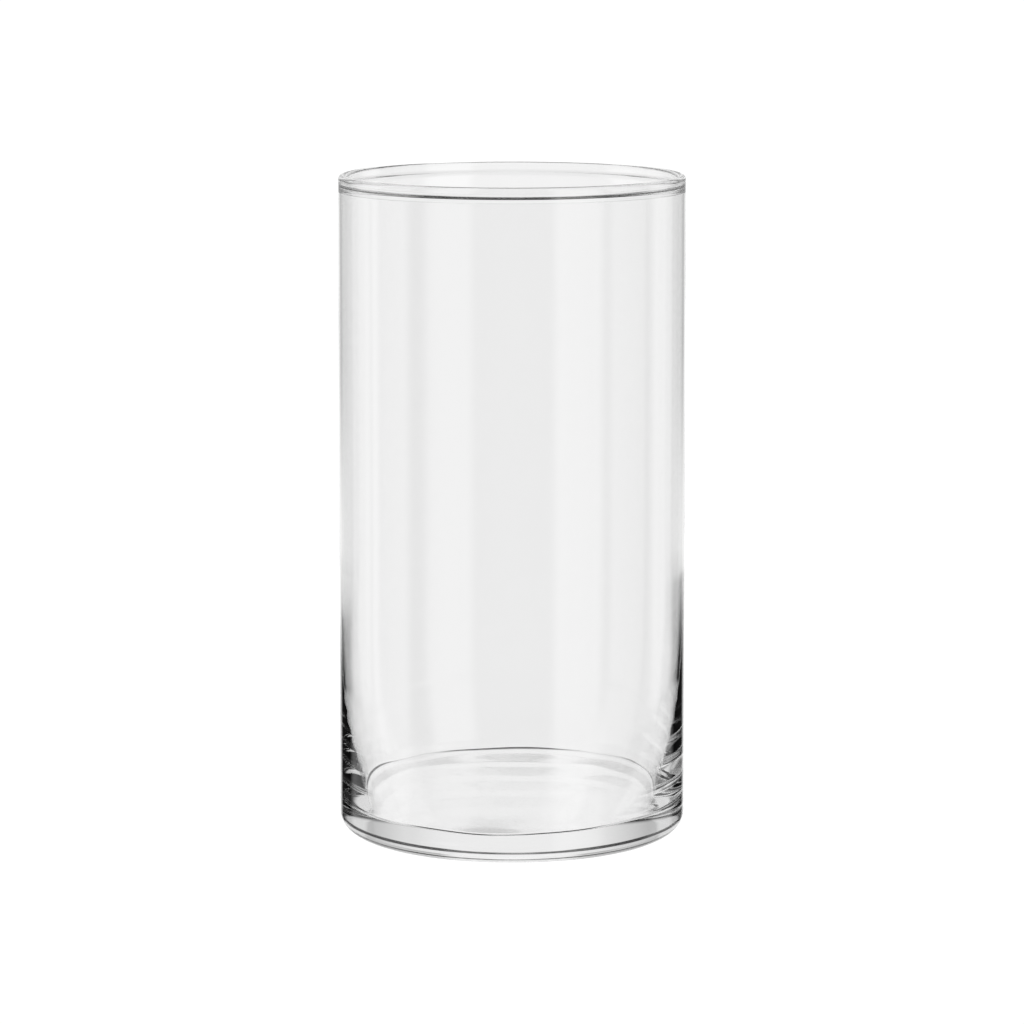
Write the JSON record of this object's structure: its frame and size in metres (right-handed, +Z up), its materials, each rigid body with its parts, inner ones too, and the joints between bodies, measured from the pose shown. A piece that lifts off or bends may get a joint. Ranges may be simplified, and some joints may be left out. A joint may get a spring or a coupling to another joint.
{
  "type": "glass cylinder vase",
  "caption": "Tall clear glass cylinder vase with a thin wall, a rounded lip and a thick flat base, for holding cut flowers and water.",
  "frame": {"origin": "centre of the flat underside, on the surface the vase stands on", "axes": "+Z up along the axis of the vase, from the base to the open mouth"},
  "size_m": [0.1315, 0.1314, 0.25],
  "materials": {
    "clear_glass": "clear, fire-polished soda-lime glass, smooth, with faint ripples low in the wall"
  },
  "bodies": {
    "root": {"vase_body": "clear_glass"}
  },
  "joints": []
}
